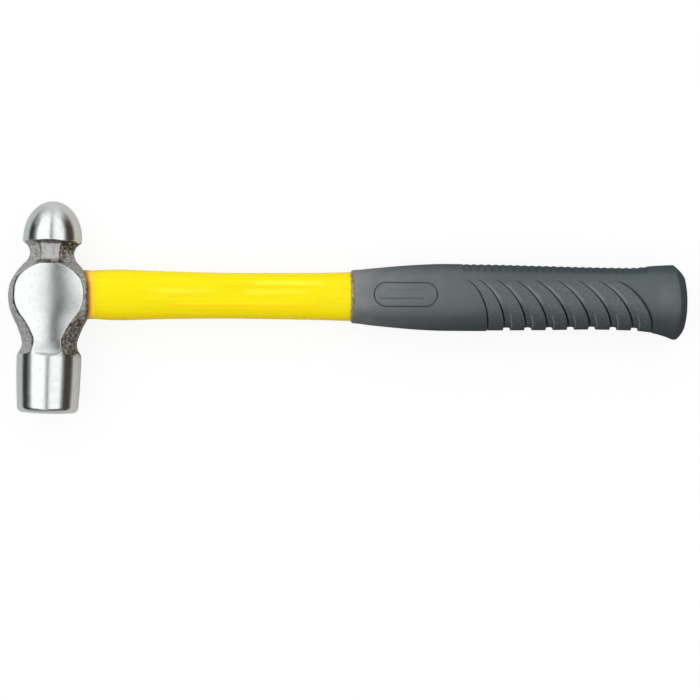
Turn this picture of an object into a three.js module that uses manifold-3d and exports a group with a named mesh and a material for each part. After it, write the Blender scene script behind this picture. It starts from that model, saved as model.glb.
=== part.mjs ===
// Ball peen hammer with a moulded fibreglass-cored handle, in millimetres.
// It lies on its side: +X runs along the handle from head to butt, +Y points to the
// ball peen, and +Z points up. While it is being built, the handle axis is the X axis
// and the eye centre is EYE_X along it. The last lines put the origin at the centre
// of the bottom of the bounding box.
import * as THREE from "three";
import { mergeVertices } from "three/addons/utils/BufferGeometryUtils.js";
import Module from "manifold-3d";

const wasm = await Module();
wasm.setup();

// Joint between touching pieces
const GAP = 0.3;

// Squareness of the oval sections of the handle, the eye and the grip
const OVAL_POWER = 2.3;
const GRIP_POWER = 2.35;
const LOWER_GRIP_POWER = 2.05;

// Head: stations are heights along the head axis, from the handle axis to the ball
const HEAD_LEAN = THREE.MathUtils.degToRad(1.25);
const EYE_X = 0.7;
const POLL_FACE = -58.2;
const POLL_RADIUS = 15.74;
const POLL_SHOULDER = -31;
const NECK_TURNED = [-24, 22];
const BALL_BASE = 27.2;
const BALL_RADIUS = 14.3;
const BALL_TIP = 45.3;
const UPPER_NECK = 10.5;
const CHEEK_TOP = 14.9;
const STRIKE_FLAT_RADIUS = 6;

// Eye through the head, and the tang in it
const EYE = { height: 11.4, depth: 7.8, flare: 0.8, half: 26 };
const TANG = { height: 10.4, depth: 6.8, start: -14.5 };
const PLUG_RECESS = 1.2;
const PLUG_INSIDE = -14.8;
const BEAD_HEIGHT = 11.9;
const BEAD_RISE = 10.8;
const BEAD_END = 22.4;

// Handle
const ROD_RADIUS = 5.5;
const ROD_START = -13.5;
const ROD_END = 282;
const SHAFT_DEPTH = 8.4;
const SHOULDER_X = 146.3;
const TAIL = { height: 10.8, depth: 7.1, end: 285 };
const GLUE = { height: 11.5, depth: 7.8, lip: 12.15, lipDepth: 8.75, end: 284.5 };
const FLUTE = { depth: 0.9, half: 4.9, start: 54, full: 72, fade: 112, end: 134 };

// Rubber grip
const GRIP_MOUTH = 147.2;
const MOUTH_BOW = 1.5;
const MOUTH_HEIGHT = 13;
const SHOULDER_BOW = 0.45 * MOUTH_BOW;
const GRIP_BORE = { height: 11.8, depth: 8.1, end: 287 };
const RIM_X = 304.3;
const RIM_CANT = 0.05;
const RIM_BOW = 2.2;
const RIM_REACH = 17;
const BUTT_FACE_X = 309.3;
const BUTT_END_X = 310.9;
const BUTT_CENTRE = -1.8;
const BUTT_FACE_HEIGHT = 12.45;
const BUTT_FACE_DEPTH = 10.2;

// Curved channels in the grip, all one arc repeated along the handle
const CHANNELS = 7;
const CHANNEL_FIRST = 221;
const CHANNEL_PITCH = 10.37;
const CHANNEL_WIDTH = 3.7;
const CHANNEL_WALL = 0.35;
const CHANNEL_DEPTH = 0.95;
const FIELD_STEP = 0.3;
const FIELD_START = 213;
const FIELD_END = 292.7;
const ARC_CENTRE = -13.3;
const ARC_HEIGHT = 22.5;
const ARC_REACH = 12.5;
const ARC_TOP = 9;

// Smooth curve through [station, value] points without overshoot.
function through(points) {
  const slopes = points.map(([x, y], i) => {
    if (i === 0 || i === points.length - 1) return 0;
    const [x0, y0] = points[i - 1];
    const [x1, y1] = points[i + 1];
    const before = (y - y0) / (x - x0);
    const after = (y1 - y) / (x1 - x);
    return before * after <= 0 ? 0 : (2 * before * after) / (before + after);
  });
  return (at) => {
    const last = points.length - 1;
    if (at <= points[0][0]) return points[0][1];
    if (at >= points[last][0]) return points[last][1];
    const i = points.findIndex(([x]) => x > at) - 1;
    const [x0, y0] = points[i];
    const [x1, y1] = points[i + 1];
    const span = x1 - x0;
    const t = (at - x0) / span;
    const rise = t * t * (3 - 2 * t);
    const bend = slopes[i] * t * (1 - t) ** 2 - slopes[i + 1] * t * t * (1 - t);
    return y0 + (y1 - y0) * rise + span * bend;
  };
}

const mix = THREE.MathUtils.lerp;
const ease = THREE.MathUtils.smoothstep;

// A closed surface through rings of equal point counts, with a fan over each end ring.
function lofted(rings) {
  const size = rings[0].length;
  const points = rings.flat();
  const faces = [];
  for (let r = 0; r + 1 < rings.length; r++) {
    for (let i = 0; i < size; i++) {
      const a = r * size + i;
      const b = r * size + ((i + 1) % size);
      faces.push(a, b, b + size, a, b + size, a + size);
    }
  }
  [0, rings.length - 1].forEach((r) => {
    const centre = new THREE.Vector3();
    rings[r].forEach((p) => centre.addScaledVector(p, 1 / size));
    points.push(centre);
    for (let i = 0; i < size; i++) {
      const a = r * size + i;
      const b = r * size + ((i + 1) % size);
      faces.push(points.length - 1, r ? a : b, r ? b : a);
    }
  });
  return new THREE.BufferGeometry().setFromPoints(points).setIndex(faces);
}

// A ring-shaped surface: the last ring is joined to the first.
function loop(rings) {
  const size = rings[0].length;
  const count = rings.length;
  const faces = [];
  for (let r = 0; r < count; r++) {
    for (let i = 0; i < size; i++) {
      const next = (i + 1) % size;
      const a = r * size + i;
      const b = r * size + next;
      const c = ((r + 1) % count) * size + next;
      const d = ((r + 1) % count) * size + i;
      faces.push(a, b, c, a, c, d);
    }
  }
  return new THREE.BufferGeometry().setFromPoints(rings.flat()).setIndex(faces);
}

// One ring across the handle. A section gives [y, z] at an angle measured from +Y,
// and the station is a number or a function of y.
function ring(count, station, section) {
  return Array.from({ length: count }, (_, i) => {
    const angle = (2 * Math.PI * i) / count;
    const [y, z] = section(angle);
    const x = typeof station === "function" ? station(y, angle) : station;
    return new THREE.Vector3(x, y, z);
  });
}

// Oval section: power 2 is an ellipse, and more is squarer.
function oval(height, depth, power) {
  return (angle) => {
    const c = Math.cos(angle);
    const s = Math.sin(angle);
    const sum = (Math.abs(c) / height) ** power + (Math.abs(s) / depth) ** power;
    const reach = sum ** (-1 / power);
    return [reach * c, reach * s];
  };
}

function solidOf(geometry) {
  const merged = mergeVertices(geometry, 1e-4);
  return new wasm.Manifold(
    new wasm.Mesh({
      numProp: 3,
      vertProperties: merged.attributes.position.array,
      triVerts: new Uint32Array(merged.index.array),
    }),
  );
}

function geometryOf(solid) {
  const mesh = solid.getMesh();
  const position = new THREE.BufferAttribute(mesh.vertProperties, 3);
  return new THREE.BufferGeometry()
    .setAttribute("position", position)
    .setIndex(new THREE.BufferAttribute(mesh.triVerts, 1));
}

// ---- Head ----

const headWidth = through([
  [POLL_SHOULDER, 15.9],
  [-28.8, 14.8],
  [-26.6, 13.5],
  [-24.4, 13.1],
  [-17, 15.2],
  [-11, 18],
  [-5.4, 19.7],
  [-1, 20.18],
  [3.4, 19.7],
  [9.3, 17.3],
  [13.7, 14.1],
  [17, 11.3],
  [20, UPPER_NECK],
  [22.9, 11.3],
  [BALL_BASE, 15.4],
]);

const cheekWidth = through([
  [POLL_SHOULDER, 8.4],
  [-28.3, 7.6],
  [-22.6, 6.65],
  [-17.5, 8.58],
  [-12.7, 11.5],
  [-8.8, 14.4],
  [-4.9, 16.2],
  [-1, 16.77],
  [2, 16.67],
  [6.8, 15.5],
  [11.7, 11.1],
  [14, 7],
  [CHEEK_TOP, 4.9],
  [20, 4.45],
  [22.9, 4.8],
  [BALL_BASE, 6.4],
]);

// Half-depth at the edges of the ground cheek or of the front facet of a neck
const cheekDepth = through([
  [POLL_SHOULDER, 16.2],
  [-28.3, 14.1],
  [-25.4, 12.9],
  [-22, 12.5],
  [-12, 12.3],
  [CHEEK_TOP - 0.3, 12.3],
  [CHEEK_TOP + 1.3, 10.8],
  [20, UPPER_NECK],
  [23.5, 10.8],
  [25.4, 11.7],
  [BALL_BASE, 15.2],
]);

// Half-depth of the flat that each side of the head has
const sideDepth = through([
  [POLL_SHOULDER, 6.6],
  [-24.4, 5.7],
  [-12, 6.8],
  [-6, 8.8],
  [4, 8.8],
  [11, 6.8],
  [20, 4.55],
  [BALL_BASE, 6.4],
]);

const cheekCrown = through([
  [POLL_SHOULDER, 0],
  [-20, 0.35],
  [-8, 1.1],
  [6, 1.1],
  [CHEEK_TOP, 0.15],
  [CHEEK_TOP + 1.5, 0],
]);

// How far the forged corner between cheek and side bulges out
const cornerBulge = through([
  [-24.4, 0],
  [-10, 0.45],
  [6, 0.45],
  [17, 0],
]);

// Turned poll, from the flat middle of its crowned face to its shoulder
const pollRadius = through([
  [POLL_FACE, STRIKE_FLAT_RADIUS],
  [-57.7, 12.4],
  [-56.9, 13.8],
  [-55.1, 14.9],
  [-46, 15.4],
  [POLL_SHOULDER, POLL_RADIUS],
]);

// Radius that the head is turned to. The eye body between poll and ball isn't turned.
function turnedRadius(at) {
  if (at < NECK_TURNED[0]) return pollRadius(at);
  if (at < NECK_TURNED[1]) return Infinity;
  const rise = Math.max(0, (at - BALL_BASE) / (BALL_TIP - BALL_BASE));
  return BALL_RADIUS * Math.sqrt(1 - rise ** 2);
}

// A quarter of the section across the head, from the middle of the cheek to the middle
// of the side, as [x, z].
function headQuarter(at) {
  const edge = [cheekWidth(at), cheekDepth(at)];
  const side = [headWidth(at), sideDepth(at)];
  const bulge = cornerBulge(at);
  const quarter = [0, 0.35, 0.7, 1].map((t) => [
    edge[0] * t,
    edge[1] + cheekCrown(at) * (1 - t * t),
  ]);
  [0.33, 0.67, 1].forEach((t) => {
    const swell = 4 * bulge * t * (1 - t);
    quarter.push([mix(edge[0], side[0], t) + swell, mix(edge[1], side[1], t) + swell]);
  });
  quarter.push([side[0], side[1] * 0.5], [side[0], 0]);
  return quarter;
}

// The full ring at one station, as points of the head's own frame.
function headRing(at) {
  const quarter = headQuarter(at);
  const held = quarter.map(([x, z]) => {
    const scale = Math.min(1, turnedRadius(at) / Math.hypot(x, z));
    return [x * scale, z * scale];
  });
  const corners = held.slice(1, -1).reverse();
  const right = [...held, ...corners.map(([x, z]) => [x, -z])];
  const left = [[0, -held[0][1]], ...right.slice(1).reverse().map(([x, z]) => [-x, z])];
  return [...right, ...left].map(([x, z]) => new THREE.Vector3(x, at, z));
}

const HEAD_STATIONS = [
  POLL_FACE, -57.7, -56.9, -56, -55.1, -46, -36, POLL_SHOULDER, -30.2, -28.8, -27, -24.4,
  -21, -17, -14, -11, -8, -5, -2, 1, 4, 7, 9.3, 11.2, 12.8, 14.5, 15.4, 16.2, 18, 20, 22.9,
  24.6, 25.6, 26.4,
];

function headRings() {
  const ball = Array.from({ length: 10 }, (_, i) => Math.sin((i * Math.PI) / 19));
  const stations = [
    ...HEAD_STATIONS,
    ...ball.map((rise) => mix(BALL_BASE, BALL_TIP, rise)),
  ];
  return stations.map((at) => headRing(at));
}

// Oval hole that widens to both of its ends
function eyeSection(at, clearance) {
  const widen = EYE.flare * (at / 20) ** 2;
  return oval(EYE.height + widen - clearance, EYE.depth + widen - clearance, OVAL_POWER);
}

function eyeRing(at, clearance) {
  return ring(32, at, eyeSection(at, clearance));
}

function headGeometry() {
  const eye = [-EYE.half, -20, -10, 0, 10, 20, EYE.half].map((at) => eyeRing(at, 0));
  const forging = solidOf(lofted(headRings()));
  return geometryOf(forging.subtract(solidOf(lofted(eye))));
}

// Half-width of the head at a depth z: the side's flat, or the forged corner above it.
function widthAtDepth(at, z) {
  const side = [headWidth(at), sideDepth(at)];
  const edge = [cheekWidth(at), cheekDepth(at)];
  const swell = (t) => 4 * cornerBulge(at) * t * (1 - t);
  let low = 0;
  let high = 1;
  for (let i = 0; i < 20; i++) {
    const t = (low + high) / 2;
    if (mix(edge[1], side[1], t) + swell(t) > Math.abs(z)) low = t;
    else high = t;
  }
  return mix(edge[0], side[0], high) + swell(high);
}

// X of the head's surface on the handle's side, at a height y and a depth z
function headSurface(y, z) {
  const along = y + headWidth(y) * Math.sin(HEAD_LEAN);
  return EYE_X + widthAtDepth(along, z) + along * Math.sin(HEAD_LEAN);
}

// ---- Handle ----

const shaftHeight = through([
  [10, 11.6],
  [21.7, 11.87],
  [33, 12.36],
  [53, 11.8],
  [68.5, 11.43],
  [90, 11.16],
  [107.5, 11.28],
  [131, 11.5],
  [SHOULDER_X, 11.85],
]);

// Depth of the shallow flute on each side of the shaft
function fluteDepth(x, y) {
  const along = ease(x, FLUTE.start, FLUTE.full) * (1 - ease(x, FLUTE.fade, FLUTE.end));
  const across = Math.max(0, 1 - (y / FLUTE.half) ** 2);
  return FLUTE.depth * along * across;
}

function shaftSection(x) {
  const outline = oval(shaftHeight(x), SHAFT_DEPTH, OVAL_POWER);
  return (angle) => {
    const [y, z] = outline(angle);
    return [y, z - Math.sign(z) * fluteDepth(x, y)];
  };
}

// The mouth of the grip and the shoulder before it bow towards the butt in the middle.
function bowShare(y) {
  return Math.max(0, 1 - (y / MOUTH_HEIGHT) ** 2);
}

function shoulderEnd(y) {
  return SHOULDER_X + SHOULDER_BOW * bowShare(y);
}

function gripMouth(y) {
  return GRIP_MOUTH + MOUTH_BOW * bowShare(y);
}

// The tang at the eye end, the fluted shaft, and the tail under the grip, bored for
// the rod.
function jacketGeometry() {
  const count = 40;
  const tang = oval(TANG.height, TANG.depth, OVAL_POWER);
  const tail = oval(TAIL.height, TAIL.depth, OVAL_POWER);
  const bore = oval(ROD_RADIUS + GAP, ROD_RADIUS + GAP, 2);
  const shoulder = BEAD_END + GAP;
  const shaft = [shoulder, 33, 43, 54, 63, 72, 90, 107, 118, 128, 138];
  const rings = [
    ring(count, TANG.start, tang),
    ring(count, shoulder, tang),
    ...shaft.map((x) => ring(count, x, shaftSection(x))),
    ring(count, shoulderEnd, shaftSection(SHOULDER_X)),
    ring(count, shoulderEnd, tail),
    ring(count, TAIL.end, tail),
    ring(count, TAIL.end, bore),
    ring(count, TANG.start, bore),
  ];
  return loop(rings);
}

function rodGeometry() {
  const section = oval(ROD_RADIUS, ROD_RADIUS, 2);
  return lofted([ring(24, ROD_START, section), ring(24, ROD_END, section)]);
}

// Epoxy cast round the tang, closed at the outer end of the eye
function bondGeometry() {
  const eyeFrame = new THREE.Matrix4().makeRotationZ(-HEAD_LEAN).setPosition(EYE_X, 0, 0);
  const lean = (points) => points.map((p) => p.applyMatrix4(eyeFrame));
  const plug = (y) => PLUG_RECESS - headWidth(y);
  const mouth = eyeSection(-18, GAP);
  const middle = (angle) => mouth(angle).map((v) => v / 2);
  const inner = oval(TANG.height + GAP, TANG.depth + GAP, OVAL_POWER);
  return lofted([
    lean(ring(32, plug, middle)),
    lean(ring(32, plug, mouth)),
    ...[-13, -8, 0, 8, 14].map((at) => lean(eyeRing(at, GAP))),
    ring(32, 14, inner),
    ring(32, PLUG_INSIDE, inner),
  ]);
}

// Epoxy fillet that climbs the head round the eye and ends at the shoulder of the shaft
function beadGeometry() {
  const count = 40;
  const inner = oval(TANG.height + GAP, TANG.depth + GAP, OVAL_POWER);
  const middle = oval(11.4, 9, OVAL_POWER);
  const outer = oval(BEAD_HEIGHT, BEAD_RISE, OVAL_POWER);
  const far = oval(BEAD_HEIGHT - 0.25, SHAFT_DEPTH - 0.1, OVAL_POWER);
  const onHead = (section) =>
    ring(count, (y, angle) => headSurface(y, section(angle)[1]) + GAP, section);
  return loop([
    onHead(inner),
    onHead(middle),
    onHead(outer),
    ring(count, BEAD_END, far),
    ring(count, BEAD_END, inner),
  ]);
}

// Thin adhesive sleeve between tail and grip, with a lip squeezed out at the mouth
function adhesiveGeometry() {
  const count = 40;
  const inner = oval(TAIL.height + GAP, TAIL.depth + GAP, OVAL_POWER);
  const outer = oval(GLUE.height, GLUE.depth, OVAL_POWER);
  const lip = oval(GLUE.lip, GLUE.lipDepth, OVAL_POWER);
  const lipStart = (y) => shoulderEnd(y) + GAP;
  const lipEnd = (y) => gripMouth(y) - GAP;
  return loop([
    ring(count, lipStart, inner),
    ring(count, lipStart, lip),
    ring(count, lipEnd, lip),
    ring(count, lipEnd, outer),
    ring(count, GLUE.end, outer),
    ring(count, GLUE.end, inner),
  ]);
}

// ---- Grip ----

const gripTop = through([
  [GRIP_MOUTH, 13],
  [157, 13.85],
  [169, 15],
  [180.6, 15.85],
  [192.3, 16.3],
  [210, 16.25],
  [240, 15.75],
  [265, 15.25],
  [283, 15.1],
  [294.6, 16.15],
  [RIM_X, 16.6],
]);

const gripBottom = through([
  [GRIP_MOUTH, 13],
  [157, 14],
  [169, 15.1],
  [180.6, 15.95],
  [192.3, 16.35],
  [210, 16.3],
  [240, 15.95],
  [265, 15.45],
  [283, 15.75],
  [294.6, 16.9],
  [300.5, 18.5],
  [RIM_X, 19.8],
]);

const gripDepth = through([
  [GRIP_MOUTH, 10.1],
  [169, 12],
  [192, 13.3],
  [240, 13.2],
  [270, 12.8],
  [290, 13.2],
  [RIM_X, 15.4],
]);

function gripSection(x) {
  const upper = oval(gripTop(x), gripDepth(x), GRIP_POWER);
  const power = mix(GRIP_POWER, LOWER_GRIP_POWER, ease(x, 195, 215));
  const lower = oval(gripBottom(x), gripDepth(x), power);
  return (angle) => (Math.cos(angle) > 0 ? upper(angle) : lower(angle));
}

// How far the arcs lean over, from the first one to the last
const arcSweep = through([
  [FIELD_START, 1],
  [CHANNEL_FIRST, 3.3],
  [231, 5],
  [252, 7.2],
  [FIELD_END, 7.3],
]);

// How far an arc lies towards the head at a height y, measured from its bottom station
function arcBack(at, y) {
  const rise = Math.max(0, Math.min(y, ARC_TOP) - ARC_CENTRE) / ARC_HEIGHT;
  return arcSweep(at) * rise ** 1.3 + ARC_REACH * (1 - Math.sqrt(1 - rise ** 2));
}

// Share of a channel's full depth at a height y: none above the arc's top
function channelShare(y) {
  return 1 - ease(y, 2, ARC_TOP);
}

// A ring of the outside whose points follow the channel arcs. at is its station at the
// bottom of the grip, sink is the depth cut into it, and follow is how much of the arc
// it takes.
function gripRing(count, at, sink, follow) {
  const shape = gripSection(at);
  return Array.from({ length: count }, (_, i) => {
    const angle = (2 * Math.PI * i) / count;
    const x = at - follow * arcBack(at, shape(angle)[0]);
    const [y, z] = gripSection(x)(angle);
    const cut = sink * channelShare(y);
    const scale = 1 - cut / Math.hypot(y, z);
    return new THREE.Vector3(x, y * scale, z * scale);
  });
}

// Station of the sharp rim before the butt, which bows out over the flat sides.
function rimAt(y) {
  return RIM_X - RIM_CANT * y + RIM_BOW * Math.max(0, 1 - (y / RIM_REACH) ** 2);
}

function gripGeometry() {
  const count = 48;
  const bore = oval(GRIP_BORE.height, GRIP_BORE.depth, OVAL_POWER);
  const rings = [
    ring(count, GRIP_BORE.end, bore),
    ring(count, gripMouth, bore),
    ring(count, gripMouth, gripSection(GRIP_MOUTH)),
  ];
  [157, 169, 180, 192].forEach((at) => rings.push(gripRing(count, at, 0, 0)));
  rings.push(gripRing(count, 203, 0, 0.52));
  rings.push(gripRing(count, FIELD_START, 0, 1));
  rings.push(gripRing(count, FIELD_START + CHANNEL_WALL, FIELD_STEP, 1));
  for (let i = 0; i < CHANNELS; i++) {
    const start = CHANNEL_FIRST + i * CHANNEL_PITCH;
    const end = start + CHANNEL_WIDTH;
    rings.push(gripRing(count, start, FIELD_STEP, 1));
    rings.push(gripRing(count, start + CHANNEL_WALL, CHANNEL_DEPTH, 1));
    rings.push(gripRing(count, end - CHANNEL_WALL, CHANNEL_DEPTH, 1));
    rings.push(gripRing(count, end, FIELD_STEP, 1));
  }
  rings.push(gripRing(count, FIELD_END, FIELD_STEP, 1));
  rings.push(gripRing(count, FIELD_END + CHANNEL_WALL, 0, 1));
  rings.push(gripRing(count, 299, 0, 0.41));
  rings.push(ring(count, rimAt, gripSection(RIM_X)));
  const face = (height, depth) => (angle) => {
    const [y, z] = oval(height, depth, 2.1)(angle);
    return [y + BUTT_CENTRE, z];
  };
  const shrink = [1, 0.75, 0.4];
  shrink.forEach((part) => {
    const dome = (BUTT_END_X - BUTT_FACE_X) * (1 - part ** 2);
    const section = face(BUTT_FACE_HEIGHT * part, BUTT_FACE_DEPTH * part);
    rings.push(ring(count, BUTT_FACE_X + dome, section));
  });
  return lofted(rings);
}

// ---- Assembly ----

function piece(name, geometry, colour, roughness, metalness) {
  geometry.computeVertexNormals();
  const material = new THREE.MeshStandardMaterial({ color: colour, roughness, metalness });
  const mesh = new THREE.Mesh(geometry, material);
  mesh.name = name;
  return mesh;
}

const hammer = new THREE.Group();

const head = new THREE.Group();
head.rotation.z = -HEAD_LEAN;
head.position.x = EYE_X;
head.add(piece("hammer_head", headGeometry(), 0xb4b6b5, 0.3, 1));

hammer.add(
  head,
  piece("eye_epoxy_bond", bondGeometry(), 0xb8741c, 0.35, 0),
  piece("eye_epoxy_bead", beadGeometry(), 0xd8861e, 0.3, 0),
  piece("handle_core_rod", rodGeometry(), 0xe3dcc0, 0.5, 0),
  piece("handle_jacket", jacketGeometry(), 0xfbe016, 0.28, 0),
  piece("grip_adhesive", adhesiveGeometry(), 0x6b4a1e, 0.5, 0),
  piece("rubber_grip", gripGeometry(), 0x585e61, 0.6, 0),
);

hammer.updateMatrixWorld(true);
const box = new THREE.Box3().setFromObject(hammer, true);
const centre = box.getCenter(new THREE.Vector3());
hammer.children.forEach((child) => {
  child.position.x -= centre.x;
  child.position.y -= centre.y;
  child.position.z -= box.min.z;
});

export default hammer;
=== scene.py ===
import math

import bpy
import numpy as np
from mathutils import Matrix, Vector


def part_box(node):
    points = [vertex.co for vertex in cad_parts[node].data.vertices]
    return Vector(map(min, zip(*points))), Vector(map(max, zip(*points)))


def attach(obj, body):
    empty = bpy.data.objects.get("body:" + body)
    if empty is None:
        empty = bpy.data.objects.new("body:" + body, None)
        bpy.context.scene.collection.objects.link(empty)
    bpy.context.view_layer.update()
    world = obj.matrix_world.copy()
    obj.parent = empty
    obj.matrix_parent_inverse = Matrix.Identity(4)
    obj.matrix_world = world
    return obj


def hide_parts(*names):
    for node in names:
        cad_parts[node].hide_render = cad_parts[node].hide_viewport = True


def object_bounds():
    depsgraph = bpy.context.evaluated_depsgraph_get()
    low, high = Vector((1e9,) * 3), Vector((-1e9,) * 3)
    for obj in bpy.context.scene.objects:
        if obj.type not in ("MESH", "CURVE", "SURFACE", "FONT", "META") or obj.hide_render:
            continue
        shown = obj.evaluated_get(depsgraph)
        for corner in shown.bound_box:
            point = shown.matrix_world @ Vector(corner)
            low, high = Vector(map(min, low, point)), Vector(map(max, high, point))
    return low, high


# Ball peen hammer, lying on its side. Shapes are in millimetres in the handle's own
# frame (X along the handle from the eye, Y towards the ball, Z up), as in the CAD
# source, and move to the row frame in metres when a mesh is made.

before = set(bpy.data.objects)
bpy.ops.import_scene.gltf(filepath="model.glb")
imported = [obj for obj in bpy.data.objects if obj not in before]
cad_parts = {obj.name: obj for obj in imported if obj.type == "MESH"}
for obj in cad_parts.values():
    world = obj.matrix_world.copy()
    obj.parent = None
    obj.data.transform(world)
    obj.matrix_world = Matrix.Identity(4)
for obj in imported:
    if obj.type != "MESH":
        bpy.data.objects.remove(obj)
cad_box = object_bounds()

MM = 0.001
TAU = 2 * math.pi

# Gap between hidden faces, and the finer one where a joint shows
GAP = 0.3
SEAM = 0.04

# Squareness of the oval sections: 2 is an ellipse, and more is squarer
OVAL_POWER = 2.3
GRIP_POWER = 2.35
LOWER_GRIP_POWER = 2.05
BUTT_POWER = 2.1

# Head
HEAD_LEAN = math.radians(1.25)
EYE_X = 0.7
POLL_FACE = -58.2
POLL_RADIUS = 15.74
POLL_SHOULDER = -31
NECK_TURNED = (-24, 22)
BALL_BASE = 27.2
BALL_RADIUS = 14.3
BALL_TIP = 45.3
BALL_HEIGHT = 18.03
UPPER_NECK = 10.5
CHEEK_TOP = 14.9
FACE_CROWN = 0.0035
FACE_EDGE_RADIUS = 12.0
FACE_CORNER = (2.95, 3.0)

# Eye and tang
EYE_HEIGHT = 11.4
EYE_DEPTH = 7.8
EYE_FLARE = 0.8
EYE_HALF = 26
TANG_HEIGHT = 10.4
TANG_DEPTH = 6.8
TANG_START = -14.5
PLUG_RECESS = 1.2
PLUG_INSIDE = -14.8
BEAD_RISE = 11.1
BEAD_END = 22.4

# Handle
ROD_RADIUS = 5.5
ROD_START = -13.5
SHAFT_DEPTH = 8.4
SHOULDER_X = 146.3
TAIL_HEIGHT = 10.8
TAIL_DEPTH = 7.1
TAIL_END = 285
GLUE_HEIGHT = 11.5
GLUE_DEPTH = 7.8
GLUE_LIP_HEIGHT = 12.15
GLUE_LIP_DEPTH = 8.75
GLUE_END = 284.5
FLUTE_DEPTH = 0.9
FLUTE_HALF = 4.9
FLUTE_RAMP_IN = (54, 72)
FLUTE_RAMP_OUT = (112, 134)

# Grip
GRIP_MOUTH = 147.2
MOUTH_BOW = 1.5
MOUTH_HEIGHT = 13
SHOULDER_BOW = 0.45 * MOUTH_BOW
LIP_RADIUS = 0.6
BORE_HEIGHT = 11.8
BORE_DEPTH = 8.1
BORE_END = 287
RIM_X = 304.3
RIM_CANT = 0.05
RIM_BOW = 2.2
RIM_REACH = 17
BUTT_FACE_X = 309.3
BUTT_END_X = 310.9
BUTT_FLAT = 0.84
CHAMFER_BULGE = 0.45
BUTT_CENTRE = -1.8
BUTT_FACE_HEIGHT = 12.45
BUTT_FACE_DEPTH = 10.2
CHANNELS = 7
CHANNEL_FIRST = 221
CHANNEL_PITCH = 10.37
CHANNEL_WIDTH = 3.7
CHANNEL_WALL = 0.35
FIELD_STEP = 0.3
FIELD_START = 213
FIELD_END = 292.7
FOLLOW_START = 192
END_LINE_WIDTH = 1.5
ARC_CENTRE = -13.3
ARC_HEIGHT = 22.35
ARC_REACH = 12.5
ARC_TOP = 9
SPINE_START = 201.5
SPINE_END = 290.3
SPINE_PITCH = 3.53
SPINE_DEPTH = 0.4
PANEL_START = 158.2
PANEL_END = 188.8
PANEL_CENTRE_Y = 1.05
PANEL_HALF = 5.9
PANEL_GROOVE = 0.4

rod_low, rod_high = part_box("handle_core_rod")
ORIGIN = np.array(
    [
        rod_low.x - ROD_START * MM,
        (rod_low.y + rod_high.y) / 2,
        (rod_low.z + rod_high.z) / 2,
    ]
)


# ---- Curves and sections ----


def through(points):
    """Smooth curve through (station, value) points without overshoot."""
    xs = np.array([p[0] for p in points], float)
    ys = np.array([p[1] for p in points], float)
    rates = np.diff(ys) / np.diff(xs)
    slopes = np.zeros(len(xs))
    for i in range(1, len(xs) - 1):
        before, after = rates[i - 1], rates[i]
        if before * after > 0:
            slopes[i] = 2 * before * after / (before + after)

    def curve(at):
        at = np.clip(np.asarray(at, float), xs[0], xs[-1])
        i = np.clip(np.searchsorted(xs, at, side="right") - 1, 0, len(xs) - 2)
        span = xs[i + 1] - xs[i]
        t = (at - xs[i]) / span
        rise = t * t * (3 - 2 * t)
        bend = slopes[i] * t * (1 - t) ** 2 - slopes[i + 1] * t * t * (1 - t)
        return ys[i] + (ys[i + 1] - ys[i]) * rise + span * bend

    return curve


def ease(value, start, end):
    t = np.clip((value - start) / (end - start), 0, 1)
    return t * t * (3 - 2 * t)


def smooth_min(a, b, width):
    h = np.clip(0.5 + 0.5 * (b - a) / width, 0, 1)
    return b * (1 - h) + a * h - width * h * (1 - h)


def turn(count):
    return np.arange(count) * TAU / count


def oval(height, depth, power, angle):
    """Point of an oval section at an angle from +Y: power 2 is an ellipse, more is squarer."""
    c, s = np.cos(angle), np.sin(angle)
    reach = ((np.abs(c) / height) ** power + (np.abs(s) / depth) ** power) ** (-1 / power)
    return reach * c, reach * s


def ring(station, height, depth, angle, power=OVAL_POWER):
    """One ring across the handle. The station is a number or a function of y."""
    y, z = oval(height, depth, power, angle)
    x = station(y) if callable(station) else np.full(len(angle), float(station))
    return np.stack([x, y, z], -1)


# ---- Meshes ----


def mesh_object(name, points, quads, triangles=(), crease=35):
    """A mesh from points in the handle's frame, in millimetres."""
    placed = np.asarray(points) * MM + ORIGIN
    mesh = bpy.data.meshes.new(name)
    faces = np.asarray(quads).tolist() + [list(t) for t in triangles]
    mesh.from_pydata(placed.tolist(), [], faces)
    mesh.update()
    mesh.shade_smooth()
    mesh.set_sharp_from_angle(angle=math.radians(crease))
    made = bpy.data.objects.new(name, mesh)
    bpy.context.scene.collection.objects.link(made)
    return made


def ring_quads(rings, closed):
    """Faces between neighbouring rings, facing out when the rings run along +X."""
    count, size = rings.shape[:2]
    ids = np.arange(count * size).reshape(count, size)
    near = ids if closed else ids[:-1]
    far = np.roll(ids, -1, axis=0) if closed else ids[1:]
    corners = [near, np.roll(near, -1, axis=1), np.roll(far, -1, axis=1), far]
    return np.stack(corners, -1).reshape(-1, 4)


def lofted(name, rings, crease=35):
    """A closed surface through rings, with a fan over each end ring."""
    count, size = rings.shape[:2]
    first = rings[0].mean(0)
    last = rings[-1].mean(0)
    points = np.concatenate([rings.reshape(-1, 3), [first, last]])
    start, end = count * size, count * size + 1
    top = (count - 1) * size
    fans = []
    for i in range(size):
        after = (i + 1) % size
        fans.append((start, after, i))
        fans.append((end, top + i, top + after))
    return mesh_object(name, points, ring_quads(rings, False), fans, crease)


def looped(name, rings, crease=35):
    """A ring-shaped surface: the last ring is joined to the first."""
    return mesh_object(name, rings.reshape(-1, 3), ring_quads(rings, True), (), crease)


def set_field(made, name, values):
    """A named number at each vertex, for the materials to read."""
    attribute = made.data.attributes.new(name, "FLOAT", "POINT")
    attribute.data.foreach_set("value", np.asarray(values, np.float32))


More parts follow.
